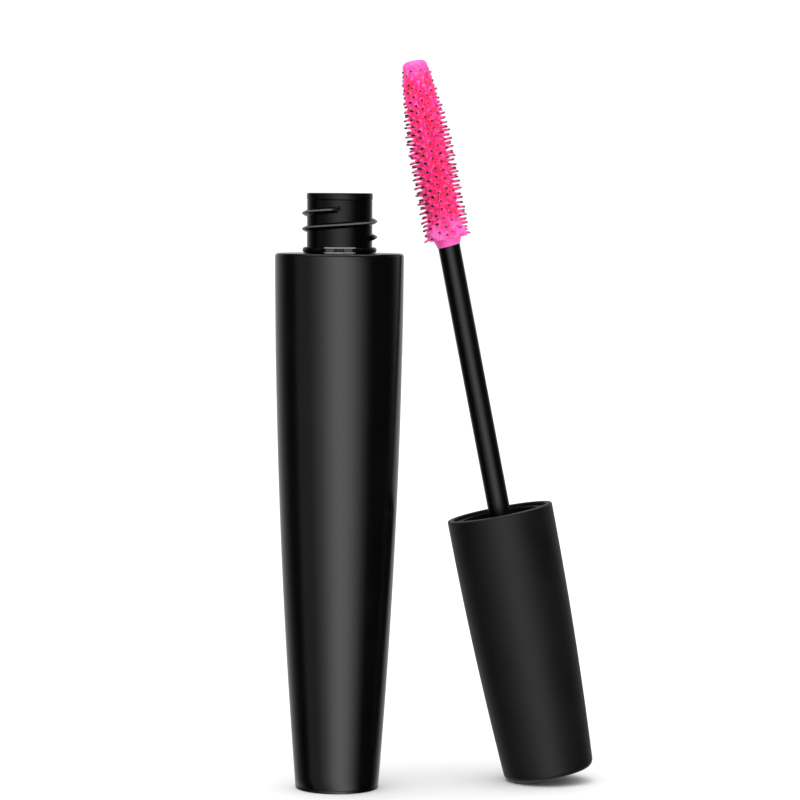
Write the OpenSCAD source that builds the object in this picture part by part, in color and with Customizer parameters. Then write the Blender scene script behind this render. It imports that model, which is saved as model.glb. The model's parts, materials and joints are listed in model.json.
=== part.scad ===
// Mascara: a tube of product with a threaded neck, and an applicator whose cap, rod and brush
// screw into it. The applicator stands beside the open tube, leaning on the rim of its cap.
// Origin: middle of the tube's base. +Z up, -Y front.

/* [Tube] */
// Height of the tube's flat shoulder above its base
tube_h = 86; // [82:0.5:90]
// Radius of the tube just under its shoulder
tube_r = 10.3; // [10:0.1:10.6]
// Radius that the tube's side would reach at its base
base_r = 6.65; // [6.6:0.05:7.5]
// Wall of the outer shell
shell_wall = 0.9; // [0.8:0.05:0.95]
// Height of the foot of the plug that closes the base
foot_h = 0.5; // [0.45:0.05:0.8]

/* [Neck] */
// Height of the neck, with the wiper's flange, above the shoulder
neck_h = 9.6; // [9.4:0.1:10.2]
// Radius of the neck
neck_r = 5.2; // [5.1:0.05:5.3]
// Radius of the neck's bore
neck_bore_r = 4.25; // [4.2:0.05:4.3]
// Rise of the thread in one turn
lead = 2.5; // [2.4:0.05:2.6]
// Angle through which the cap turns from just on to screwed home
twist = 540; // [520:5:540]

/* [Cap] */
// Length of the cap
cap_len = 43.7; // [42:0.1:46]
// Radius of the cap at its mouth
cap_r = 8.64; // [8.5:0.02:8.8]
// Radius that the cap's side would reach at its end
cap_end_r = 7.3; // [7:0.05:7.6]
// Wall of the cap
cap_wall = 0.95; // [0.9:0.05:1]

/* [Wand] */
// Length from the cap's mouth to the tip of the brush
wand_len = 74.4; // [73:0.1:75]
// Radius of the rod
rod_r = 1.79; // [1.7:0.01:1.8]
// Length of the brush, from the end of the rod
brush_len = 29.9; // [28:0.1:31]
// Radius across the tips of the pins along the full part of the brush
brush_r = 3.9; // [3.6:0.05:4]
// Rows of pins round the brush
pin_rows = 12; // [8:1:14]
// Pins along one row
pins_in_row = 14; // [8:1:16]

/* [Standing place] */
// Lean of the applicator from upright
lean = 11.2; // [10:0.1:12]
// Middle of the cap's end, to the right of the tube's axis
stand_x = 34.6; // [34.6:0.1:40]
// Middle of the cap's end, behind the tube's axis
stand_y = 8; // [8:0.1:12]

/* [Hidden] */
$fn = 72;
cut = 0.1;
shoulder_wall = 1.2;
upright_z = 1.05 * tube_h;
edge = 0.5;
foot_edge = 0.25;
seam = 0.15;
sides = 18;
corners = 6;

// Inner bottle: it drops in through the shoulder and hangs on its bead
bottle_r = 5.6;
bottle_gap = 0.05;
bottle_floor = 6;
bottle_wall = 0.8;
store_floor = bottle_floor + bottle_wall + 0.2;
store_top = tube_h - shoulder_wall - 1;
bead_r = 5.92;
bead_h = 0.95;
bead_gap = 27;
bead_arc = 60;
lug_half = 8;
lug_r = 5.7;
lug_h = 0.6 * bead_h;
neck_top = tube_h + neck_h;
flange_h = 1.05;
flange_r = neck_r + 0.05;

// Neck thread: its ridge is at thread_z over the +X side and rises by the lead each turn
thread_z = tube_h + 5.1;
thread_from = -395;
thread_to = 275;
thread_crest_r = 6;
ridge_root = 0.46;
ridge_crest = 0.16;
ridge_step = 12;
ridge_run_out = 36;
ridge_start = 0.15;
ridge_sink = 0.15;

// Wiper
orifice_r = 2.1;
wiper_mouth_r = 3.4;
wiper_depth = 11.5;
lip_h = 1;
skirt_h = 3;
funnel_h = 5;
wiper_wall = 0.45;

// Product in the bottle
fill_wall = 0.8;
fill_floor = 3;
fill_top = 0.86 * tube_h;

// Cap
cap_edge = 1.3;
rim_edge = 0.25;
cap_straight = 2;
cap_gap = 0.2;
end_wall = 1.5;
inner_cap_r = 7.3;
inner_cap_in = 0.5;
inner_lip_t = 1;
ceiling_t = 1;
cap_thread_in = 2.3;
cap_thread_turn = 400;
cap_bore_r = thread_crest_r + 0.15;
cap_crest_r = neck_r + 0.3;
liner_t = 0.8;
liner_gap = 0.05;
liner_play = 0.3;
liner_r = cap_crest_r - 0.2;
hub_r = 3.4;
hub_len = 8.5;
socket_floor = 1;
ceiling = neck_h - cap_gap + liner_t + 2 * liner_gap;
rod_foot = -ceiling - hub_len + socket_floor;
lift = lead * twist / 360;

// Brush
core_r = 1.45;
stem_r = 0.88;
stem_len = 7.5;
tip_r = 1.7;
tip_coat = 0.45;
sleeve_r = 1.62;
sleeve_end = 0.5;
pin_sink = 0.1;
pin_root_r = 0.21;
pin_end_r = 0.1;
fit = 0.02;
run = 0.04;
root_w = wand_len - brush_len;
core_end = wand_len - tip_coat;
pins_from = root_w + 1.7;
pins_to = wand_len - 2.9;
brush_taper = 13;
brush_tip_r = 2.2;
taper_power = 1.2;

// Product clotted round the brush's root
collar_t = 0.4;
collar_lip = 0.1;
collar_h = 1.1;
collar_drip = 0.6;

// Standing place of the wand: its own +Z runs along the rod to the tip, from the cap's mouth
mouth_z = (cap_len - cap_edge) * cos(lean) + (cap_end_r - cap_edge) * sin(lean) + cap_edge;
mouth = [stand_x - cap_len * sin(lean), stand_y, mouth_z];

// The swing carries the wand from its standing place to brush down over the neck
hover = 0.65;
up = [-sin(lean), 0, cos(lean)];
down = [0, 0, -1];
tip_stood = mouth + wand_len * up;
tip_over = [0, 0, neck_top + lift + hover];
swing_axis = unit(cross(tip_over - tip_stood, up - down));
swing_angle = turn_between(up, down, swing_axis);
cap_x_over = turned([cos(lean), 0, sin(lean)], swing_axis, swing_angle);
cap_x_azimuth = atan2(cap_x_over[1], cap_x_over[0]);

function unit(v) = v / norm(v);
function across(v, axis) = v - (v * axis) * axis;
function turn_between(a, b, axis) =
    atan2(axis * cross(across(a, axis), across(b, axis)), across(a, axis) * across(b, axis));
function turned(v, axis, angle) =
    v * cos(angle) + cross(axis, v) * sin(angle) + axis * (axis * v) * (1 - cos(angle));
function arc(centre, r, from, to) =
    [for (i = [0:corners]) centre + r * [cos(from + (to - from) * i / corners),
                                         sin(from + (to - from) * i / corners)]];
function ramp(x) = max(0, min(1, x));

// The tube's side is a shallow curve, upright just above the shoulder
function tube_radius(z) = tube_r - (tube_r - base_r) * pow(1 - z / upright_z, 2);
function tube_side(from, to, inset) =
    [for (i = [0:sides]) let(z = from + (to - from) * i / sides) [tube_radius(z) - inset, z]];

// The cap's side is upright at its mouth and curves in towards its end
function cap_radius(s) =
    cap_r - (cap_r - cap_end_r) * pow(max(0, s - cap_straight) / (cap_len - cap_straight), 2);
function cap_side(from, to, inset) =
    [for (i = [0:sides]) let(s = from + (to - from) * i / sides) [cap_radius(s) - inset, -s]];

// Reach of the pins at w along the wand: full, then rounding in to the tip
function pin_reach(w) =
    brush_r - (brush_r - brush_tip_r) * pow(1 - ramp((wand_len - w) / brush_taper), taper_power);

module turned_shape(points) {
    rotate_extrude() polygon(points);
}

module cylinder_between(r, from, to) {
    translate([0, 0, from]) cylinder(r = r, h = to - from);
}

module tube_wedge(half_angle, r, h) {
    linear_extrude(h)
        polygon([[0, 0], [-r * sin(half_angle), -r * cos(half_angle)], [0, -r / cos(half_angle)],
                 [r * sin(half_angle), -r * cos(half_angle)]]);
}

// A thread's ridge: its section swept up the helix, fading out at both ends
module ridge(root_r, crest_r, from, to, z_at_zero) {
    steps = ceil((to - from) / ridge_step);
    inward = crest_r < root_r;
    sections = [for (i = [0:steps])
        let(a = from + (to - from) * i / steps,
            z = z_at_zero + lead * a / 360,
            k = ridge_start + (1 - ridge_start) * ramp(min(a - from, to - a) / ridge_run_out),
            r = root_r + (crest_r - root_r) * k)
        [for (p = [[root_r, -ridge_root], [r, -ridge_crest], [r, ridge_crest], [root_r, ridge_root]])
            [p[0] * cos(a), p[0] * sin(a), z + p[1]]]];
    sides_of = [for (i = [0:steps - 1], j = [0:3])
        [4 * i + j, 4 * i + (j + 1) % 4, 4 * (i + 1) + (j + 1) % 4, 4 * (i + 1) + j]];
    ends = [[3, 2, 1, 0], [for (j = [0:3]) 4 * steps + j]];
    faces = concat(sides_of, ends);
    polyhedron([for (section = sections, p = section) p],
               inward ? [for (f = faces) [for (k = [len(f) - 1:-1:0]) f[k]]] : faces);
}

module on_wand() {
    translate(mouth) rotate([0, -lean, 0]) children();
}

module outer_shell() {
    color([0.03, 0.03, 0.035])
    difference() {
        turned_shape(concat(
            [[0, foot_h], [tube_radius(foot_h) - seam, foot_h]],
            tube_side(foot_h + 2 * seam, tube_h - edge, 0),
            arc([tube_radius(tube_h - edge) - edge, tube_h - edge], edge, 0, 90),
            [[0, tube_h]]));
        turned_shape(concat(
            [[0, foot_h - cut]],
            tube_side(foot_h - cut, tube_h - shoulder_wall, shell_wall),
            [[0, tube_h - shoulder_wall]]));
        cylinder(r = bottle_r + bottle_gap, h = tube_h + cut);
    }
}

module base_plug() {
    spigot_r = tube_radius(foot_h) - shell_wall - bottle_gap;
    color([0.04, 0.04, 0.045])
    difference() {
        union() {
            turned_shape(concat(
                [[0, 0]],
                arc([tube_radius(foot_h) - foot_edge, foot_edge], foot_edge, -90, 0),
                [[tube_radius(foot_h), foot_h], [0, foot_h]]));
            cylinder(r = spigot_r, h = bottle_floor);
        }
        translate([0, 0, foot_h + shoulder_wall])
            cylinder(r = spigot_r - shell_wall, h = bottle_floor);
    }
}

module bead() {
    translate([0, 0, tube_h])
        turned_shape(concat([[0, 0]], [[bead_r - bead_h / 2, 0]],
                            arc([bead_r - bead_h / 2, bead_h / 2], bead_h / 2, -bead_arc, bead_arc),
                            [[bead_r - bead_h / 2, bead_h], [0, bead_h]]));
}

module inner_bottle() {
    neck_from = tube_h - shoulder_wall;
    store_r = bottle_r - bottle_wall;
    color([0.05, 0.05, 0.055])
    difference() {
        union() {
            translate([0, 0, bottle_floor]) cylinder(r = bottle_r, h = tube_h - bottle_floor);
            cylinder_between(neck_r, neck_from, neck_top - flange_h);
            difference() {
                bead();
                translate([0, 0, tube_h]) tube_wedge(bead_gap, 2 * bead_r, bead_h + cut);
            }
            intersection() {
                translate([0, 0, tube_h]) tube_wedge(lug_half, 2 * bead_r, lug_h);
                cylinder_between(lug_r, tube_h, tube_h + bead_h);
            }
            ridge(neck_r - ridge_sink, thread_crest_r, thread_from, thread_to, thread_z);
        }
        cylinder_between(store_r, store_floor, store_top);
        cylinder_between(neck_bore_r, store_top - cut, neck_top);
    }
}

module wiper() {
    plug_r = neck_bore_r - fit;
    lip_z = neck_top - wiper_depth;
    color([0.06, 0.06, 0.065])
    turned_shape([
        [wiper_mouth_r, neck_top], [flange_r, neck_top], [flange_r, neck_top - flange_h],
        [plug_r, neck_top - flange_h], [plug_r, lip_z + skirt_h], [orifice_r + wiper_wall, lip_z],
        [orifice_r, lip_z], [orifice_r, lip_z + lip_h], [wiper_mouth_r, lip_z + funnel_h]]);
}

module paste_fill() {
    floor_z = store_floor + bottle_gap;
    outer_r = bottle_r - bottle_wall - bottle_gap;
    color([0.85, 0.07, 0.4])
    difference() {
        cylinder_between(outer_r, floor_z, fill_top);
        cylinder_between(outer_r - fill_wall, floor_z + fill_floor, fill_top + cut);
    }
}

module outer_cap() {
    color([0.05, 0.05, 0.055])
    on_wand()
    difference() {
        turned_shape(concat(
            [[0, 0]],
            arc([cap_r - rim_edge, -rim_edge], rim_edge, 90, 0),
            cap_side(2 * rim_edge, cap_len - cap_edge, 0),
            arc([cap_radius(cap_len - cap_edge) - cap_edge, cap_edge - cap_len], cap_edge, 0, -90),
            [[0, -cap_len]]));
        turned_shape(concat(
            [[0, cut], [cap_r - cap_wall, cut]],
            cap_side(0, cap_len - end_wall, cap_wall),
            [[0, end_wall - cap_len]]));
    }
}

module inner_cap() {
    lip_r = cap_r - cap_wall - bottle_gap;
    // Angle of the cap's own +X in the closed, screwed-home pose, seen from the neck's +X
    home = cap_x_azimuth - twist;
    // At home the cap's ridge lies midway between two turns of the neck's
    z_at_home = tube_h + cap_gap - thread_z - lead / 2 - lead * home / 360;
    starts_at = cap_thread_in - ceiling - z_at_home;
    from = starts_at * 360 / lead;
    color([0.04, 0.04, 0.045])
    on_wand()
    difference() {
        union() {
            difference() {
                union() {
                    cylinder_between(inner_cap_r, -ceiling - ceiling_t, -inner_cap_in);
                    cylinder_between(lip_r, -inner_cap_in - inner_lip_t, -inner_cap_in);
                }
                cylinder_between(cap_bore_r, -ceiling, cut);
            }
            cylinder_between(hub_r, -ceiling - hub_len, -ceiling - cut);
            ridge(cap_bore_r + ridge_sink, cap_crest_r, from, from + cap_thread_turn, z_at_home);
        }
        cylinder_between(rod_r + fit, rod_foot, cut);
    }
}

module cap_liner() {
    lies_at = -(neck_h - cap_gap + liner_gap) + lift;
    color([0.75, 0.75, 0.72])
    on_wand()
    difference() {
        cylinder_between(liner_r, lies_at - liner_t, lies_at);
        cylinder_between(rod_r + liner_play, lies_at - liner_t - cut, lies_at + cut);
    }
}

module rod() {
    color([0.07, 0.07, 0.075])
    on_wand()
    difference() {
        cylinder_between(rod_r, rod_foot, root_w);
        cylinder_between(stem_r + fit, root_w - stem_len, root_w + cut);
    }
}

module brush_core() {
    color([0.03, 0.03, 0.03])
    on_wand() {
        cylinder_between(stem_r, root_w - stem_len + fit, root_w + fit);
        cylinder_between(core_r, root_w + fit, core_end - tip_r + cut);
        turned_shape(concat([[0, core_end - tip_r]], arc([0, core_end - tip_r], tip_r, 0, 90)));
    }
}

module bristles() {
    color([0.95, 0.2, 0.5])
    on_wand()
    difference() {
        union() {
            cylinder_between(sleeve_r, pins_from - sleeve_end, pins_to + sleeve_end);
            for (row = [0:pin_rows - 1], i = [0:pins_in_row - 1]) {
                pitch = (pins_to - pins_from) / (pins_in_row - 0.5);
                w = pins_from + pitch * (i + (row % 2) / 2);
                translate([0, 0, w]) rotate([0, 0, 360 * row / pin_rows]) rotate([0, 90, 0])
                    translate([0, 0, core_r + pin_sink])
                        cylinder(r1 = pin_root_r, r2 = pin_end_r, h = pin_reach(w) - core_r - pin_sink);
            }
        }
        cylinder_between(core_r + fit, pins_from - 2 * sleeve_end, pins_to + 2 * sleeve_end);
    }
}

module root_paste() {
    collar_r = rod_r + collar_t;
    drip_w = root_w - collar_drip;
    color([0.9, 0.25, 0.65])
    on_wand()
    difference() {
        turned_shape([[0, drip_w], [rod_r + collar_lip, drip_w], [collar_r, root_w],
                      [collar_r, root_w + collar_h], [0, root_w + collar_h]]);
        cylinder_between(rod_r + run, drip_w - cut, root_w + collar_h + cut);
    }
}

module tip_paste() {
    inner_r = tip_r + run;
    color([0.95, 0.45, 0.8])
    on_wand()
    difference() {
        turned_shape(concat([[0, core_end - tip_r], [inner_r + tip_coat, core_end - tip_r]],
                            arc([0, core_end - tip_r - run], inner_r + tip_coat, 0, 90)));
        turned_shape(concat([[0, core_end - tip_r - cut]],
                            [[inner_r, core_end - tip_r - cut]],
                            arc([0, core_end - tip_r], inner_r, 0, 90)));
    }
}

outer_shell();
base_plug();
inner_bottle();
wiper();
paste_fill();
outer_cap();
inner_cap();
cap_liner();
rod();
brush_core();
bristles();
root_paste();
tip_paste();
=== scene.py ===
"""An open mascara: a black tapered tube, and a black cap with its rod and a brush coated in pink product."""
import json
import math

import bpy
import numpy as np
from mathutils import Matrix, Vector


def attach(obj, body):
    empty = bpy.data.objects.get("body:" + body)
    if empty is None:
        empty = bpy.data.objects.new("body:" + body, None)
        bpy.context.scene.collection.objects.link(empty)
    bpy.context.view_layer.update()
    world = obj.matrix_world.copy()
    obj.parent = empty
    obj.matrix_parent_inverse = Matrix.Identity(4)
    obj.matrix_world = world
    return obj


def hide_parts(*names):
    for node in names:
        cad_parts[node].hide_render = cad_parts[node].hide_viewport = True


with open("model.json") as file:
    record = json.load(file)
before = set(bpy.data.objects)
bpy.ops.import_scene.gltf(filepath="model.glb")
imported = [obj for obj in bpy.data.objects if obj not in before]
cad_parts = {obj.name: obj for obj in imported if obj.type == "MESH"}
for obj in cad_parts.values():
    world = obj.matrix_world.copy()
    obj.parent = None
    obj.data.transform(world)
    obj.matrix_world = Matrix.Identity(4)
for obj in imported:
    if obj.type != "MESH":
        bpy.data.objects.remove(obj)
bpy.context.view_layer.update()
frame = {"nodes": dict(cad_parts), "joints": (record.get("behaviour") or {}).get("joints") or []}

MM = 0.001
ROUND = 224          # facets round a turned piece
random = np.random.RandomState(11)      # every draw comes from here or from a seed of its own

# ---------------------------------------------------------------- places, from the frame

JOINTS = {j["name"]: j for j in frame["joints"]}
ALONG = Vector(JOINTS["cap_twist"]["axis"])
MOUTH = Vector(JOINTS["cap_twist"]["pos_m"])
LEAN = math.atan2(-ALONG.x, ALONG.z)
# The wand's own frame: its origin is in the cap's mouth and its +Z runs up the rod to the brush's tip
WAND = Matrix.Translation(MOUTH) @ Matrix.Rotation(-LEAN, 4, "Y")
UPRIGHT = Matrix.Identity(4)


def rings(node, place):
    """Every vertex of a CAD node as (radius, height) about the Z axis of place."""
    co = np.array([place.inverted() @ v.co for v in frame["nodes"][node].data.vertices])
    return np.column_stack([np.hypot(co[:, 0], co[:, 1]), co[:, 2]])


def span(node, place=UPRIGHT):
    """(lowest height, highest height, largest radius) of a CAD node about the Z axis of place."""
    rz = rings(node, place)
    return rz[:, 1].min(), rz[:, 1].max(), rz[:, 0].max()


def side_curve(node, place, low, high):
    """The radius of a bulging node's outside as a smooth function of height, fitted between two heights.
    Only the outer hull of its vertices counts, without its two ends, so the inner wall is left out."""
    points = sorted({(round(z, 7), round(r, 7)) for r, z in rings(node, place) if low < z < high})
    hull = []
    for z, r in points:
        while len(hull) > 1:
            (z1, r1), (z2, r2) = hull[-2:]
            if (z2 - z1) * (r - r1) < (r2 - r1) * (z - z1):
                break
            hull.pop()
        hull.append((z, r))
    return np.poly1d(np.polyfit(*zip(*hull[1:-1]), 2))


SHELL_LOW, SHELL_HIGH, _ = span("outer_shell")
_, PLUG_TOP, FOOT_R = span("base_plug")
WIPER_LOW, NECK_TOP, FLANGE_R = span("wiper")
CAP_END, CAP_MOUTH, CAP_R = span("outer_cap", WAND)
ROD_LOW, ROD_HIGH, ROD_R = span("rod", WAND)
PINS_LOW, _, PINS_R = span("bristles", WAND)
_, TIP_HIGH, TIP_R = span("tip_paste", WAND)
ROOT_LOW, ROOT_HIGH, _ = span("root_paste", WAND)


# ---------------------------------------------------------------- mesh helpers

def smooth_step(x, low, high):
    """0 up to low, 1 from high on, and a smooth rise between them."""
    t = np.clip((x - low) / (high - low), 0, 1)
    return t * t * (3 - 2 * t)


def add_piece(name, vertices, faces, place, body, material, node=None, sharp=40):
    """A mesh piece given in the frame of place. It rides on a body, and may stand for a CAD node. Edges that
    turn by more than sharp degrees are shaded as edges."""
    mesh = bpy.data.meshes.new(name)
    mesh.from_pydata([place @ Vector(v) for v in vertices], [], faces)
    mesh.validate()
    mesh.shade_smooth()
    mesh.set_sharp_from_angle(angle=math.radians(sharp))
    piece = bpy.data.objects.new(name, mesh)
    bpy.context.scene.collection.objects.link(piece)
    mesh.materials.append(material)
    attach(piece, body)
    if node:
        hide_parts(node)
    return piece


def paint(piece, name, values):
    """A layer that the materials read by name: one value from 0 to 1 for each vertex."""
    layer = piece.data.attributes.new(name, "FLOAT", "POINT")
    layer.data.foreach_set("value", np.clip(np.array(values, float), 0, 1))


def turned(profile, radius_at=None, facets=ROUND, closed=False):
    """Vertices and faces of a shape turned about Z. profile holds (radius, height) pairs, and it starts and
    ends on the axis unless closed is set. radius_at(angle, radius, height) may reshape each ring."""
    angles = np.linspace(0, 2 * math.pi, facets, endpoint=False)
    vertices, starts = [], []
    for r, z in profile:
        starts.append(len(vertices))
        if r <= 1e-9:
            vertices.append((0, 0, z))
            continue
        rs = np.full(facets, r) if radius_at is None else radius_at(angles, r, z)
        vertices += list(zip(rs * np.cos(angles), rs * np.sin(angles), np.full(facets, z)))
    faces = []
    steps = list(zip(range(len(profile)), range(1, len(profile))))
    if closed:
        steps.append((len(profile) - 1, 0))
    for a, b in steps:
        pole_a, pole_b = profile[a][0] <= 1e-9, profile[b][0] <= 1e-9
        for i in range(facets):
            j = (i + 1) % facets
            if pole_a:
                faces.append((starts[a], starts[b] + j, starts[b] + i))
            elif pole_b:
                faces.append((starts[a] + i, starts[a] + j, starts[b]))
            else:
                faces.append((starts[a] + i, starts[a] + j, starts[b] + j, starts[b] + i))
    return vertices, faces


def arc(centre_r, centre_z, r, start, end, points=8):
    """Points on a rounded edge, angles in degrees from straight out."""
    angles = np.radians(np.linspace(start, end, points))
    return [(centre_r + r * math.cos(a), centre_z + r * math.sin(a)) for a in angles]


def line(start, end, points):
    """Evenly spaced points from start to end, both included."""
    return [tuple(p) for p in np.linspace(start, end, points)]


# ---------------------------------------------------------------- material helpers

class Nodes:
    """A material's node tree, with short calls to add and link nodes."""

    def __init__(self, name):
        self.material = bpy.data.materials.new(name)
        self.material.use_nodes = True
        self.tree = self.material.node_tree
        self.shader = self.tree.nodes["Principled BSDF"]
        self.place = self.add("ShaderNodeTexCoord").outputs["Object"]

    def add(self, kind, inputs=None, **settings):
        node = self.tree.nodes.new(kind)
        for key, value in settings.items():
            setattr(node, key, value)
        for key, value in (inputs or {}).items():
            self.put(value, node.inputs[key])
        return node

    def put(self, value, socket):
        if isinstance(value, bpy.types.NodeSocket):
            self.tree.links.new(value, socket)
        else:
            socket.default_value = value

    def set(self, **values):
        for key, value in values.items():
            self.put(value, self.shader.inputs[key.replace("_", " ")])

    def noise(self, size, detail=3.0, roughness=0.5, stretch=(1, 1, 1)):
        """Noise whose cells are about size metres across."""
        mapped = self.add("ShaderNodeMapping", {"Vector": self.place, "Scale": stretch})
        node = self.add("ShaderNodeTexNoise", {"Vector": mapped.outputs["Vector"], "Scale": 1 / size,
                                               "Detail": detail, "Roughness": roughness})
        return node.outputs["Fac"]

    def range(self, value, from_low, from_high, low, high):
        node = self.add("ShaderNodeMapRange", {"Value": value, "From Min": from_low, "From Max": from_high,
                                               "To Min": low, "To Max": high})
        return node.outputs["Result"]

    def mix(self, share, a, b):
        node = self.add("ShaderNodeMix", data_type="RGBA")
        self.put(share, node.inputs["Factor"])
        self.put(a, node.inputs["A"])
        self.put(b, node.inputs["B"])
        return node.outputs["Result"]

    def math(self, operation, a, b=0.0):
        node = self.add("ShaderNodeMath", operation=operation)
        self.put(a, node.inputs[0])
        self.put(b, node.inputs[1])
        return node.outputs["Value"]

    def bump(self, height, distance, strength=1.0, normal=None):
        node = self.add("ShaderNodeBump", {"Height": height, "Distance": distance, "Strength": strength})
        if normal:
            self.put(normal, node.inputs["Normal"])
        return node.outputs["Normal"]


def moulded_black(name, shade, roughness, grain, specular=0.5):
    """Black moulded plastic: cloudy gloss, a fine grain and a few hairline marks. The paint layer
    "painted_highlight" greys it where a highlight is painted on."""
    n = Nodes(name)
    clouds = n.noise(9 * MM, 2)
    hairs = n.noise(0.5 * MM, 4, stretch=(1, 1, 0.04))
    fine = n.noise(0.16 * MM, 2)
    black = n.mix(n.range(clouds, 0.3, 0.7, 0, 1), (shade, shade, shade * 1.05, 1),
                  (shade * 1.6, shade * 1.6, shade * 1.7, 1))
    painted_highlight = n.add("ShaderNodeAttribute", attribute_name="painted_highlight").outputs["Fac"]
    # painted highlight: the layer mixes in grey
    n.set(Base_Color=n.mix(painted_highlight, black, (0.4, 0.4, 0.4, 1)))
    cloudy = n.range(clouds, 0.3, 0.7, roughness * 0.92, roughness * 1.08)
    marks = n.range(hairs, 0.62, 0.8, 0, 0.06)
    n.set(Roughness=n.math("ADD", cloudy, marks))
    n.shader.inputs["Specular IOR Level"].default_value = specular
    n.set(Normal=n.bump(n.math("ADD", fine, hairs), grain))
    return n.material


def product(name):
    """Hot pink product, wet and streaky. Its paint layers say where it is uncoated black plastic or blackened
    by painted shade ("bare_black_and_shade"), where a paler tone or a painted highlight lightens it
    ("pale_tone_and_highlight"), and where painted shade turns it crimson ("painted_shade")."""
    n = Nodes(name)
    bare_black_and_shade, pale_tone_and_highlight, painted_shade = (n.add("ShaderNodeAttribute", attribute_name=layer).outputs["Fac"]
                        for layer in ("bare_black_and_shade", "pale_tone_and_highlight", "painted_shade"))
    patches = n.noise(1.3 * MM, 3)
    flecks = n.noise(0.42 * MM, 4, 0.62)
    pink = n.mix(n.range(patches, 0.4, 0.6, 0, 1), (1.0, 0.022, 0.33, 1), (1.0, 0.014, 0.14, 1))
    pink = n.mix(n.range(flecks, 0.32, 0.46, 0.75, 0), pink, (0.92, 0.001, 0.08, 1))
    pink = n.mix(n.range(flecks, 0.53, 0.64, 0, 0.9), pink, (1.0, 0.13, 0.5, 1))
    # painted shade turns the product crimson; a painted highlight or a paler tone turns it light pink
    pink = n.mix(painted_shade, pink, (0.84, 0.001, 0.05, 1))
    pink = n.mix(pale_tone_and_highlight, pink, (1.0, 0.14, 0.56, 1))
    n.set(Base_Color=n.mix(bare_black_and_shade, pink, (0.004, 0.003, 0.004, 1)))
    n.set(Roughness=n.range(flecks, 0.3, 0.7, 0.24, 0.46))
    n.shader.inputs["Specular IOR Level"].default_value = 0.4
    n.set(Normal=n.bump(n.noise(0.28 * MM, 3, 0.55), 0.08 * MM))
    return n.material


def soft_white(name):
    """Foamed sealing washer: off-white with fine pores."""
    n = Nodes(name)
    pores = n.noise(0.2 * MM, 2)
    n.set(Base_Color=n.mix(pores, (0.5, 0.49, 0.45, 1), (0.62, 0.61, 0.57, 1)), Roughness=0.8)
    n.set(Normal=n.bump(pores, 0.03 * MM))
    return n.material


SHELL_BLACK = moulded_black("shell_black", 0.0012, 0.2, 0.0006 * MM)
NECK_BLACK = moulded_black("neck_black", 0.0009, 0.24, 0.001 * MM, 0.2)
WIPER_BLACK = moulded_black("wiper_black", 0.001, 0.28, 0.0015 * MM, 0.24)
CAP_BLACK = moulded_black("cap_black", 0.0036, 0.46, 0.0014 * MM, 0.22)
INNER_BLACK = moulded_black("inner_black", 0.0014, 0.42, 0.002 * MM, 0.15)
ROD_BLACK = moulded_black("rod_black", 0.0015, 0.24, 0.001 * MM, 0.3)
BRUSH_BLACK = moulded_black("brush_black", 0.003, 0.45, 0.003 * MM)
PRODUCT = product("product_pink")
WASHER = soft_white("washer_white")


# ---------------------------------------------------------------- the tube

SHELL_WALL = 0.9 * MM
SHOULDER_WALL = 1.2 * MM
PLUG_GAP = 0.05 * MM
BOTTLE_R = 5.6 * MM
BOTTLE_WALL = 0.8 * MM


def make_shell():
    """The tapered shell, open at its foot, with a hole in its flat shoulder for the bottle."""
    edge, chamfer = 0.5 * MM, 0.12 * MM
    low, high = SHELL_LOW, SHELL_HIGH
    side = side_curve("outer_shell", UPRIGHT, low + 0.1 * high, high - 2 * edge)
    thread_crest = span("inner_bottle")[2]
    hole = thread_crest - 0.35 * MM
    outside = np.linspace(low + chamfer, high - edge, 60)
    inside = np.linspace(high - SHOULDER_WALL, low, 40)
    profile = [(side(low) - 0.5 * chamfer, low)]
    profile += [(side(h), h) for h in outside]
    profile += arc(side(high - edge) - edge, high - edge, edge, 8, 90)
    profile += line((side(high) - 1.5 * edge, high), (hole, high), 6)
    profile += [(hole, high - SHOULDER_WALL)]
    profile += [(side(h) - SHELL_WALL, h) for h in inside]
    vertices, faces = turned(profile, closed=True)
    add_piece("tube_shell", vertices, faces, UPRIGHT, "tube", SHELL_BLACK, "outer_shell")


def make_foot():
    """The plug that closes the shell: a foot with a shallow recess below, and a hollow spigot above."""
    edge, seam = 0.25 * MM, 0.06 * MM
    recess, recess_r, ring_r = 0.12 * MM, 0.55 * FOOT_R, 0.6 * FOOT_R
    top = SHELL_LOW
    floor = top + 1.2 * MM
    spigot = FOOT_R - SHELL_WALL - PLUG_GAP
    bore = spigot - SHELL_WALL
    profile = [(0, recess), (recess_r, recess), (ring_r, 0)]
    profile += arc(FOOT_R - edge, edge, edge, -90, 0, 14)
    profile += arc(FOOT_R - seam, top - seam, seam, 0, 90, 5)
    profile += [(spigot, top), (spigot, PLUG_TOP), (bore, PLUG_TOP), (bore, floor), (0, floor)]
    vertices, faces = turned(profile)
    add_piece("tube_foot", vertices, faces, UPRIGHT, "tube", SHELL_BLACK, "base_plug")


NECK_R = FLANGE_R - 0.05 * MM
FLANGE_H = 1.05 * MM
LEAD = JOINTS["cap_lift"]["range_m"][1] / math.radians(JOINTS["cap_twist"]["range_deg"][1]) * 2 * math.pi
# Angles in degrees from +X. The ridge is at "zero" over +X, and "half" is half its width at the root
THREAD = {"from": -395, "to": 275, "run_out": 22,
          "zero": SHELL_HIGH + 5.1 * MM, "height": 0.82 * MM, "half": 0.5 * MM}
# "gap" and "lug" are half angles in degrees from the front
BEAD = {"low": SHELL_HIGH + 0.05 * MM, "high": SHELL_HIGH + 1.0 * MM, "r": 5.92 * MM, "gap": 27, "lug": 8}


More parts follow.
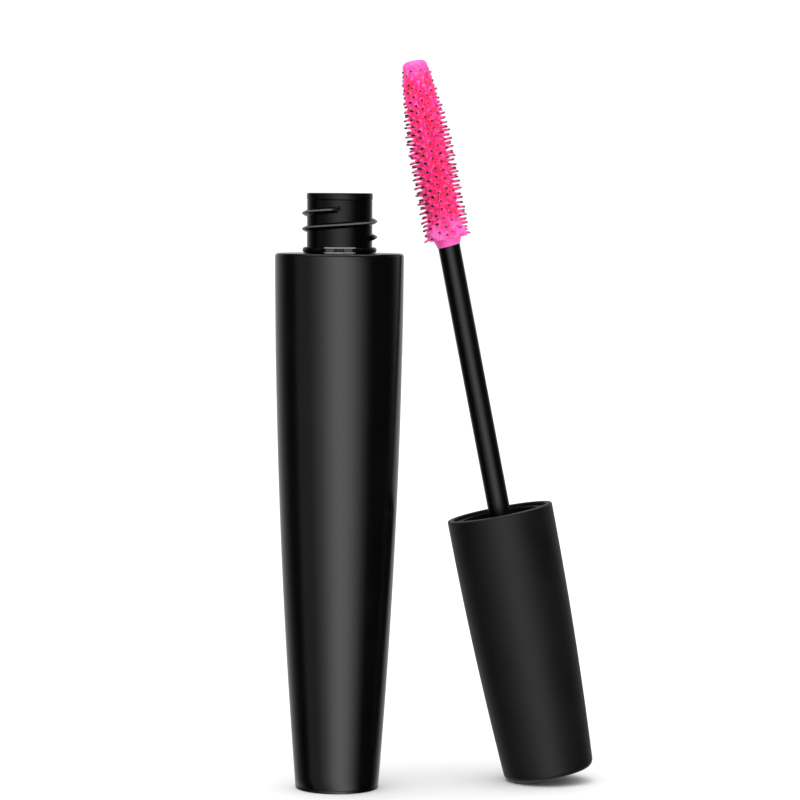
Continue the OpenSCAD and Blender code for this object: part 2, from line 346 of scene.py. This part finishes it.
def thread_height(angles, z):
    """How far the thread's ridge stands out of the neck at one height, for each angle."""
    out = np.zeros_like(angles)
    for turn in range(-2, 2):
        a = np.degrees(angles) + 360 * turn
        off = np.abs(z - (THREAD["zero"] + LEAD * a / 360)) / THREAD["half"]
        fade = smooth_step(np.minimum(a - THREAD["from"], THREAD["to"] - a), 0, THREAD["run_out"])
        crest = np.clip(1 - off ** 1.8, 0, 1)
        out = np.maximum(out, THREAD["height"] * fade * crest)
    return out


def bead_height(angles, z):
    """The bead round the neck's foot, with a gap at the front that holds a stop lug."""
    middle, half = (BEAD["low"] + BEAD["high"]) / 2, (BEAD["high"] - BEAD["low"]) / 2
    gap_blur, lug_blur = 1.2, 1
    lug_out, lug_top = 0.72, middle + 0.4 * half
    across = np.clip(1 - ((z - middle) / half) ** 2, 0, 1) ** 0.5
    from_front = np.abs((np.degrees(angles) + 90 + 180) % 360 - 180)
    ring = smooth_step(from_front, BEAD["gap"] - gap_blur, BEAD["gap"] + gap_blur)
    lug = 1 - smooth_step(from_front, BEAD["lug"] - lug_blur, BEAD["lug"] + lug_blur)
    return (BEAD["r"] - NECK_R) * np.maximum(across ** 0.6 * ring, lug_out * lug * (z < lug_top))


def make_neck():
    """The inner bottle with its neck, whose thread and bead are raised from one finely divided wall."""
    plate_low = SHELL_HIGH - SHOULDER_WALL
    floor = span("inner_bottle")[0]
    top, bore, edge = NECK_TOP - FLANGE_H, 4.25 * MM, 0.12 * MM
    store_r, store_floor = BOTTLE_R - BOTTLE_WALL, floor + MM
    store_top, bore_low = plate_low - 1.1 * MM, plate_low - MM

    def radius_at(angles, r, z):
        if r < NECK_R - 1e-7 or r > NECK_R + 1e-7 or z <= SHELL_HIGH:
            return np.full(len(angles), r)
        return r + np.maximum(thread_height(angles, z), bead_height(angles, z))

    profile = [(0, floor), (BOTTLE_R, floor), (BOTTLE_R, plate_low), (BOTTLE_R, SHELL_HIGH)]
    profile += line((NECK_R, SHELL_HIGH + 0.02 * MM), (NECK_R, top - edge), 300)
    profile += [(NECK_R - edge, top), (bore, top), (bore, bore_low)]
    profile += [(store_r, store_top), (store_r, store_floor), (0, store_floor)]
    vertices, faces = turned(profile, radius_at, 320)
    piece = add_piece("bottle_and_neck", vertices, faces, UPRIGHT, "tube", NECK_BLACK, "inner_bottle",
                      50)
    paint_neck_highlights(piece, vertices)


def paint_neck_highlights(piece, vertices):
    """Painted highlights: grey on the thread's crest above its middle, grey edges round the gap in the bead,
    and a fainter grey on the gap's floor.
    """
    rim_highlight, gap_floor_highlight, crest_highlight = 1.0, 0.16, 0.2
    rim_width, floor_inset, step = 0.14 * MM, 3, 0.04 * MM
    x, y, z = np.array(vertices).T
    angles = np.arctan2(y, x)
    ridge = thread_height(angles, z)
    falling = thread_height(angles, z + step) < ridge
    crest = smooth_step(ridge, 0.6 * THREAD["height"], 0.95 * THREAD["height"]) * falling
    from_front = np.degrees(np.abs(np.arctan2(x, -y)))
    in_gap = (from_front < BEAD["gap"]) & (z > BEAD["low"]) & (z < BEAD["high"])
    rim = np.minimum(z - BEAD["low"], BEAD["high"] - z) < rim_width
    floor = (from_front > BEAD["lug"]) & (from_front < BEAD["gap"] - floor_inset) & ~rim
    # painted highlight: grey lines on the crest and round the gap, a fainter grey on the gap's floor
    paint(piece, "painted_highlight", in_gap * (rim_highlight * rim + gap_floor_highlight * floor) + crest_highlight * crest)


def make_wiper():
    """The plug in the neck: a flange on the neck's top, a wide mouth, and a funnel down to the wiping lip."""
    low, top = WIPER_LOW, NECK_TOP
    edge, low_edge = 0.22 * MM, 0.08 * MM
    plug, mouth, lip, lip_wall, lip_h = 4.23 * MM, 3.4 * MM, 2.1 * MM, 0.45 * MM, MM
    skirt_top, funnel_top = low + 3 * MM, low + 5 * MM
    flange_low = top - FLANGE_H
    profile = line((mouth, funnel_top), (mouth, top - edge), 6)[:-1]
    profile += arc(mouth + edge, top - edge, edge, 180, 90, 6)
    profile += arc(FLANGE_R - edge, top - edge, edge, 90, 0, 8)
    profile += arc(FLANGE_R - low_edge, flange_low + low_edge, low_edge, 0, -90, 4)
    profile += [(plug, flange_low), (plug, skirt_top)]
    profile += [(lip + lip_wall, low), (lip, low), (lip, low + lip_h)]
    vertices, faces = turned(profile[::-1], closed=True)
    add_piece("neck_wiper", vertices, faces, UPRIGHT, "tube", WIPER_BLACK, "wiper")


# ---------------------------------------------------------------- the cap and rod

def make_cap():
    """The cap: its closed end has a shallow recess and a rounded edge, its mouth a small one."""
    low, high = CAP_END, CAP_MOUTH
    edge, rim, inner_rim = 1.3 * MM, 0.25 * MM, 0.12 * MM
    wall, end_wall, straight = 0.95 * MM, 1.5 * MM, 2 * MM
    recess, recess_r, ring_r = 0.1 * MM, 0.5 * CAP_R, 0.58 * CAP_R
    side = side_curve("outer_cap", WAND, low + 2 * edge, high - straight)

    def r(h):
        return float(side(min(h, high - straight)))

    profile = [(0, low + recess), (recess_r, low + recess), (ring_r, low + 0.01 * MM)]
    profile += arc(r(low + edge) - edge, low + edge, edge, -90, 0, 12)
    profile += [(r(h), h) for h in np.linspace(low + edge, high - rim, 60)[1:]]
    profile += arc(CAP_R - rim, high - rim, rim, 0, 90, 6)
    profile += arc(CAP_R - wall + inner_rim, high - inner_rim, inner_rim, 90, 180, 4)
    profile += [(r(h) - wall, h) for h in np.linspace(high - rim, low + end_wall, 30)]
    profile += [(0, low + end_wall)]
    vertices, faces = turned(profile)
    piece = add_piece("cap_shell", vertices, faces, WAND, "applicator", CAP_BLACK, "outer_cap")
    # painted highlight: a faint grey along the top of the mouth's rim
    heights = np.array(vertices)[:, 2]
    paint(piece, "painted_highlight", 0.06 * smooth_step(heights, high - 0.2 * MM, high - 0.05 * MM))


def make_rod():
    """The rod, with chamfered ends and a socket in its upper end for the brush core's stem."""
    low_edge, high_edge = 0.2 * MM, 0.1 * MM
    socket_r, socket_low = 0.9 * MM, span("brush_core", WAND)[0] - 0.02 * MM
    profile = [(0, ROD_LOW), (ROD_R - low_edge, ROD_LOW)]
    profile += line((ROD_R, ROD_LOW + low_edge), (ROD_R, ROD_HIGH - high_edge), 40)
    profile += [(ROD_R - high_edge, ROD_HIGH), (socket_r, ROD_HIGH), (socket_r, socket_low), (0, socket_low)]
    vertices, faces = turned(profile, facets=96)
    add_piece("wand_rod", vertices, faces, WAND, "applicator", ROD_BLACK, "rod")


# ---------------------------------------------------------------- the brush

PIN_ROWS = 16
PIN_PITCH = 1.38 * MM
COAT_R = 2.45 * MM
CORE_R = 1.45 * MM
BEAD_LOW = TIP_HIGH - 1.75 * MM
COAT_LOW, COAT_HIGH = ROOT_HIGH - 0.5 * MM, BEAD_LOW + 0.35 * MM
THIN_SIDE = math.radians(232)     # the side, seen along the brush, where the product lies thinnest


def reach(w):
    """Distance of the pins' tips from the axis: full along the brush, and drawing in towards its tip."""
    taper, tip_reach = 13 * MM, 2.15 * MM
    t = 1 - np.clip((TIP_HIGH - w) / taper, 0, 1)
    return PINS_R - 0.03 * MM - (PINS_R - tip_reach) * t ** 1.2


def pin_places():
    """(height, angle) of every pin: straight rows, each half a pitch on from its neighbour."""
    places = []
    for row in range(PIN_ROWS):
        w = PINS_LOW + 0.15 * MM + (row % 2) * PIN_PITCH / 2
        while w < COAT_HIGH:
            places.append((w, 2 * math.pi * row / PIN_ROWS))
            w += PIN_PITCH
    return places


def lumps(angles, w, seed, size):
    """Smooth random swelling in about -1..1 over the coat, from a few turned waves."""
    waves = 14
    wave = np.random.RandomState(seed)
    out = np.zeros(np.broadcast(angles, w).shape)
    for _ in range(waves):
        turns, phase = wave.randint(1, 9), wave.uniform(0, 2 * math.pi)
        out = out + np.sin(turns * angles + phase + w / size * wave.uniform(-2.5, 2.5))
    return out / waves ** 0.5 / 1.5


def drawn_up(angles, heights, pins):
    """How far the coat climbs the pins: 1 at each pin, falling to 0 a little way round it."""
    width = 0.34 * MM
    out = np.zeros_like(angles)
    for w, a in pins:
        around = (angles - a + math.pi) % (2 * math.pi) - math.pi
        distance = ((heights - w) ** 2 + (around * COAT_R) ** 2) / width ** 2
        out = np.maximum(out, np.exp(-distance))
    return out


def make_coat(pins):
    """The coat of product over the brush's core, drawn up round each pin and clotted near the rod."""
    facets, stations = 224, 420
    low, high = COAT_LOW, COAT_HIGH
    levels = np.linspace(low, high, stations)
    a, w = np.meshgrid(np.linspace(0, 2 * math.pi, facets, endpoint=False), levels)
    clots_end, tip_start = low + 4.5 * MM, high - 2.2 * MM
    lumpy = 0.1 * lumps(a, w, 3, 1.5 * MM) + 0.12 * lumps(5 * a, w, 5, 0.55 * MM)
    clots = 1 - smooth_step(w, low, clots_end)
    at_tip = smooth_step(w, tip_start, high)
    base = np.minimum(COAT_R, 0.55 * MM + 0.66 * reach(w))
    rise = lumpy - 0.12 + 0.42 * drawn_up(a, w, pins) + clots * (0.6 + 0.5 * lumps(a, w, 8, 0.9 * MM))
    radius = base + rise * MM * (1 - 0.75 * at_tip)
    radius = np.maximum(np.minimum(radius, reach(w) - 0.05 * MM), CORE_R + 0.1 * MM)
    outside = 1.0          # stands in the profile for the coat's own radius
    profile = [(CORE_R, low)] + [(outside, h) for h in levels] + [(CORE_R, high)]
    row_of = {h: i for i, h in enumerate(levels)}

    def radius_at(_, r, z):
        return radius[row_of[z]] if r == outside else np.full(facets, r)

    vertices, faces = turned(profile, radius_at, facets, closed=True)
    piece = add_piece("brush_coat", vertices, faces, WAND, "applicator", PRODUCT,
                      sharp=180)
    # painted highlight on the raised parts of the coat and painted shade (crimson) in its hollows; towards
    # the tip and in the clots it is also made paler
    raised = np.clip(rise / 0.45, -1, 1)
    pale_tone_and_highlight = 0.75 * np.clip(raised, 0, 1) + 0.32 * at_tip + 0.12 * clots
    painted_shade = 1.2 * np.clip(0.2 - raised, 0, 1) * (1 - at_tip)
    paint(piece, "pale_tone_and_highlight", [0.3] * facets + [*pale_tone_and_highlight.ravel()] + [0.6] * facets)
    paint(piece, "painted_shade", [0.0] * facets + [*painted_shade.ravel()] + [0.0] * facets)


def pin(w, a, sides=8, levels=10):
    """One pin at height w and angle a: rings of vertices from root to tip, with their paint."""
    out = Vector((math.cos(a), math.sin(a), 0))
    side = Vector((-math.sin(a), math.cos(a), 0))
    up = Vector((0, 0, 1))
    root, tip = CORE_R, float(reach(w)) - random.uniform(0, 0.16) * MM
    near_rod = 1 - float(smooth_step(w, PINS_LOW, PINS_LOW + 4 * MM))
    tilt, sway = random.uniform(-0.07, 0.07), random.uniform(-0.09, 0.09)
    bend = random.uniform(-0.14, 0.06) - 0.12 * near_rod
    root_r, tip_r = random.uniform(0.3, 0.37) * MM * (1 + 0.35 * near_rod), 0.15 * MM
    thinly = max(0.0, math.cos(a - THIN_SIDE)) ** 6
    bare_from = random.uniform(0.74, 0.88) - 0.12 * thinly + 0.15 * near_rod
    underside_shade_share = random.uniform(0.2, 0.7) + 0.3 * thinly
    black = min(1.0, random.uniform(0.6, 1.0) + 0.4 * thinly)
    phase = random.uniform(0, 2 * math.pi)
    vertices, bare_black_and_shade, pale_tone_and_highlight = [], [], []
    for level in range(levels):
        t = 1 - (1 - level / (levels - 1)) ** 1.25
        length = t * (tip - root)
        centre = out * (root + length) + side * (sway * length) + up * (w + (tilt + bend * t) * length)
        radius = (root_r * (1 - t) + tip_r * t) * (1 + 0.14 * math.sin(8 * t + phase))
        if level == levels - 1:
            radius *= 0.5
        tip_black = float(smooth_step(t, bare_from - 0.07, bare_from + 0.07))
        # painted shade: from partway along, the pin's underside is blackened
        underside_shade = underside_shade_share * float(smooth_step(t, 0.4, 0.55))
        for b in np.linspace(0, 2 * math.pi, sides, endpoint=False):
            vertices.append(centre + (side * math.cos(b) + up * math.sin(b)) * radius)
            bare_black_and_shade.append(black * max(tip_black, underside_shade * max(0.0, -math.sin(b))))
            # painted highlight: the pin is lighter on its upper side
            pale_tone_and_highlight.append(0.2 + 0.35 * max(0.0, math.sin(b)))
    faces = [(p + i, p + (i + 1) % sides, p + sides + (i + 1) % sides, p + sides + i)
             for p in range(0, (levels - 1) * sides, sides) for i in range(sides)]
    faces.append(tuple(range((levels - 1) * sides, levels * sides)))
    faces.append(tuple(reversed(range(sides))))
    return vertices, faces, bare_black_and_shade, pale_tone_and_highlight


def make_pins(pins):
    """The brush's pins: tapered, a little bent, coated in product but for their black tips; painted shade
    blackens their undersides and a painted highlight lightens their upper sides.
    """
    vertices, faces, bare_black_and_shade, pale_tone_and_highlight = [], [], [], []
    for w, a in pins:
        start = len(vertices)
        points, polygons, pin_black_and_shade, pin_tone_and_highlight = pin(w, a)
        vertices += points
        faces += [tuple(start + i for i in polygon) for polygon in polygons]
        bare_black_and_shade += pin_black_and_shade
        pale_tone_and_highlight += pin_tone_and_highlight
    piece = add_piece("brush_pins", vertices, faces, WAND, "applicator", PRODUCT, "bristles",
                      60)
    paint(piece, "bare_black_and_shade", bare_black_and_shade)
    paint(piece, "pale_tone_and_highlight", pale_tone_and_highlight)


def make_collar():
    """The smooth ring of product where the brush meets the rod, with a soft drip at its lower edge."""
    low, high, facets, stations = ROOT_LOW, ROOT_HIGH, 128, 22
    skin, flare, drip_h, drip_side = 0.03 * MM, 0.5 * MM, 0.35 * MM, math.radians(215)
    inner_r = ROD_R + 0.01 * MM
    angles = np.linspace(0, 2 * math.pi, facets, endpoint=False)
    drip = drip_h * (0.5 + 0.5 * np.cos(angles - drip_side))
    rings, pale_tone_and_highlight = [], []
    for t in np.linspace(0, 1, stations):
        thick = 0.12 * MM + flare * smooth_step(t, 0.05, 0.95)
        rounded = 1 - (1 - min(1.0, t / 0.16)) ** 2
        swell = 0.05 * MM * lumps(angles, t * 2 * MM, 21, MM) * t
        z = low + 0.25 * MM - drip * (1 - t) + (high - low) * t
        rings.append((ROD_R + skin + thick * rounded + swell, z))
        pale_tone_and_highlight += [1 - 0.75 * t] * facets
    for z in (high, low + 0.2 * MM):
        rings.append((np.full(facets, inner_r), np.full(facets, z)))
        pale_tone_and_highlight += [0.5] * facets
    vertices = [v for r, z in rings for v in zip(r * np.cos(angles), r * np.sin(angles), z)]
    rows = len(rings)
    faces = [(a * facets + i, a * facets + (i + 1) % facets, b * facets + (i + 1) % facets, b * facets + i)
             for a, b in zip(range(rows), [*range(1, rows), 0]) for i in range(facets)]
    piece = add_piece("collar_of_product", vertices, faces, WAND, "root_bead", PRODUCT, "root_paste",
                      180)
    paint(piece, "pale_tone_and_highlight", pale_tone_and_highlight)


def make_tip():
    """The rounded bead of product over the brush's tip, hollow where the core's end goes in."""
    low, high = BEAD_LOW, TIP_HIGH
    edge, low_edge = 0.95 * MM, 0.12 * MM
    r = TIP_R - 0.16 * MM
    inner = 0.8 * r
    hollow = [(0, high - 0.42 * MM), (0.5 * inner, high - 0.5 * MM), (inner, high - 1.1 * MM), (inner, low)]
    outside = [(r - 0.25 * MM, low)]
    outside += arc(r - low_edge, low + low_edge, low_edge, -80, 0, 4)
    outside += arc(r - edge, high - 0.1 * MM - edge, edge, 0, 76, 12)
    outside += [(0.4 * r, high - 0.03 * MM), (0.15 * r, high), (0, high)]

    def radius_at(angles, radius, z):
        return radius + 0.05 * MM * lumps(angles, z, 31, 0.8 * MM) * (radius > inner)

    vertices, faces = turned(hollow + outside, radius_at, 128)
    piece = add_piece("bead_of_product", vertices, faces, WAND, "applicator", PRODUCT, "tip_paste",
                      180)
    heights = np.array(vertices)[:, 2]
    paint(piece, "pale_tone_and_highlight", 0.25 + 0.4 * smooth_step(heights, low, high - 0.4 * MM))


# ---------------------------------------------------------------- CAD pieces that stay as they are

def dress(node, material):
    """Give a CAD node that keeps its own shape a finished material."""
    slots = frame["nodes"][node].data.materials
    slots.clear()
    slots.append(material)


# ---------------------------------------------------------------- studio

FLOOR_WHITE = 0.64


def make_floor():
    """A plain white floor. Gloss looks through it, so that the softboxes run on below the object's base."""
    half = 1.5
    corners = [(-half, -half, 0), (half, -half, 0), (half, half, 0), (-half, half, 0)]
    mesh = bpy.data.meshes.new("floor")
    mesh.from_pydata(corners, [], [(0, 1, 2, 3)])
    floor = bpy.data.objects.new("floor", mesh)
    bpy.context.scene.collection.objects.link(floor)
    n = Nodes("floor_white")
    n.set(Base_Color=(FLOOR_WHITE, FLOOR_WHITE, FLOOR_WHITE, 1), Roughness=0.9)
    n.shader.inputs["Specular IOR Level"].default_value = 0.0
    clear = n.add("ShaderNodeBsdfTransparent")
    seen_by = n.add("ShaderNodeLightPath")
    choose = n.add("ShaderNodeMixShader", {0: seen_by.outputs["Is Glossy Ray"], 1: n.shader.outputs["BSDF"],
                                           2: clear.outputs["BSDF"]})
    n.put(choose.outputs["Shader"], n.tree.nodes["Material Output"].inputs["Surface"])
    mesh.materials.append(n.material)


def height_at(elevation):
    """Height of a direction in a sphere of radius 1, from its elevation in degrees."""
    return math.sin(math.radians(elevation))


# Softboxes, by azimuth to the right of the front: (middle, full to, gone at, brightness), angles in degrees
SOFTBOXES = {"front": (2, 0, 60, 2.35), "left": (-61, 18, 28, 0.27), "back": (180, 20, 76, 0.62)}
BOX_LEAN = 0.42                   # how far the boxes lean, in radians of azimuth for each unit of height
BOX_FULL, BOX_GONE = height_at(8), height_at(42)
CEILING_FROM, CEILING_FULL, CEILING = height_at(48), height_at(62), 1.2
DARK = 0.004                      # what gloss sees between the boxes
ALL_ROUND, OVERHEAD = 1.0, 2.2    # brightness of the room for matt surfaces, and what is added overhead
TO_EYE = 1.05                     # brightness of the background as the camera sees it


def make_world():
    """White to the eye. Matt surfaces see a white room, brighter overhead, and gloss sees tall softboxes."""
    world = bpy.data.worlds.new("studio")
    bpy.context.scene.world = world
    world.use_nodes = True
    tree = world.node_tree
    tree.nodes.clear()

    def add(kind, *inputs, **settings):
        node = tree.nodes.new(kind)
        for key, value in settings.items():
            setattr(node, key, value)
        for socket, value in zip(node.inputs, inputs):
            if isinstance(value, bpy.types.NodeSocket):
                tree.links.new(value, socket)
            else:
                socket.default_value = value
        return node

    def maths(operation, *inputs):
        return add("ShaderNodeMath", *inputs, operation=operation).outputs["Value"]

    def fade(value, full, gone, level):
        node = add("ShaderNodeMapRange", interpolation_type="SMOOTHSTEP")
        tree.links.new(value, node.inputs["Value"])
        for key, number in {"From Min": full, "From Max": gone, "To Min": level, "To Max": 0.0}.items():
            node.inputs[key].default_value = number
        return node.outputs["Result"]

    way = add("ShaderNodeSeparateXYZ", add("ShaderNodeTexCoord").outputs["Generated"])
    x, y, z = (way.outputs[k] for k in "XYZ")
    azimuth = maths("ARCTAN2", x, maths("MULTIPLY", y, -1.0))
    azimuth = maths("ADD", azimuth, maths("MULTIPLY", z, BOX_LEAN))
    gloss = DARK
    for middle, full, gone, level in SOFTBOXES.values():
        off = maths("WRAP", maths("SUBTRACT", azimuth, math.radians(middle)), math.pi, -math.pi)
        box = fade(maths("ABSOLUTE", off), math.radians(full), math.radians(gone), level)
        gloss = maths("ADD", gloss, box)
    gloss = maths("MULTIPLY", gloss, fade(z, BOX_FULL, BOX_GONE, 1.0))
    gloss = maths("ADD", gloss, fade(z, CEILING_FULL, CEILING_FROM, CEILING))
    overhead = maths("POWER", maths("MAXIMUM", z, 0.0), 3.0)
    room = maths("ADD", ALL_ROUND, maths("MULTIPLY", overhead, OVERHEAD))
    matt, shiny, seen = (add("ShaderNodeBackground", (1, 1, 1, 1), level).outputs["Background"]
                         for level in (room, gloss, TO_EYE))
    rays = add("ShaderNodeLightPath").outputs
    unseen = add("ShaderNodeMixShader", rays["Is Glossy Ray"], matt, shiny).outputs["Shader"]
    all_rays = add("ShaderNodeMixShader", rays["Is Camera Ray"], unseen, seen).outputs["Shader"]
    add("ShaderNodeOutputWorld", all_rays)


def make_key_light():
    """A large soft light from the upper left, which gives the brush and the floor some shape."""
    place, aimed_at, width = Vector((-0.2, -0.4, 0.55)), Vector((0, 0, 0.06)), 0.5
    data = bpy.data.lights.new("key", "AREA")
    data.shape, data.size = "SQUARE", width
    data.energy = 0.9
    key = bpy.data.objects.new("key", data)
    key.location = place
    aim = aimed_at - place
    key.rotation_mode = "QUATERNION"
    key.rotation_quaternion = aim.to_track_quat("-Z", "Y")
    key.visible_glossy = False
    bpy.context.scene.collection.objects.link(key)


def make_camera():
    """At shoulder height in front of the object, looking slightly down, with a slight roll."""
    distance, side, above_shoulder = 0.54, 0.0098, 0.009
    pitch, roll, lens = math.radians(3.434), math.radians(0.363), 152.1
    data = bpy.data.cameras.new("camera")
    data.lens, data.sensor_width = lens, 36
    camera = bpy.data.objects.new("camera", data)
    camera.rotation_mode = "QUATERNION"
    turn = Matrix.Rotation(math.pi / 2 - pitch, 3, "X") @ Matrix.Rotation(roll, 3, "Z")
    camera.rotation_quaternion = turn.to_quaternion()
    camera.location = (side, -distance, SHELL_HIGH + above_shoulder)
    bpy.context.scene.collection.objects.link(camera)
    bpy.context.scene.camera = camera


make_camera()
make_shell()
make_foot()
make_neck()
make_wiper()
make_cap()
make_rod()
PINS = pin_places()
make_coat(PINS)
make_pins(PINS)
make_collar()
make_tip()
for part, look in {"paste_fill": PRODUCT, "inner_cap": INNER_BLACK, "cap_liner": WASHER,
                   "brush_core": BRUSH_BLACK}.items():
    dress(part, look)
for wet in ("brush_coat", "brush_pins", "collar_of_product", "bead_of_product"):
    bpy.data.objects[wet].visible_glossy = False     # the black plastic shows no reflection of these
make_floor()
make_world()
make_key_light()
bpy.context.scene.view_settings.view_transform = "Standard"
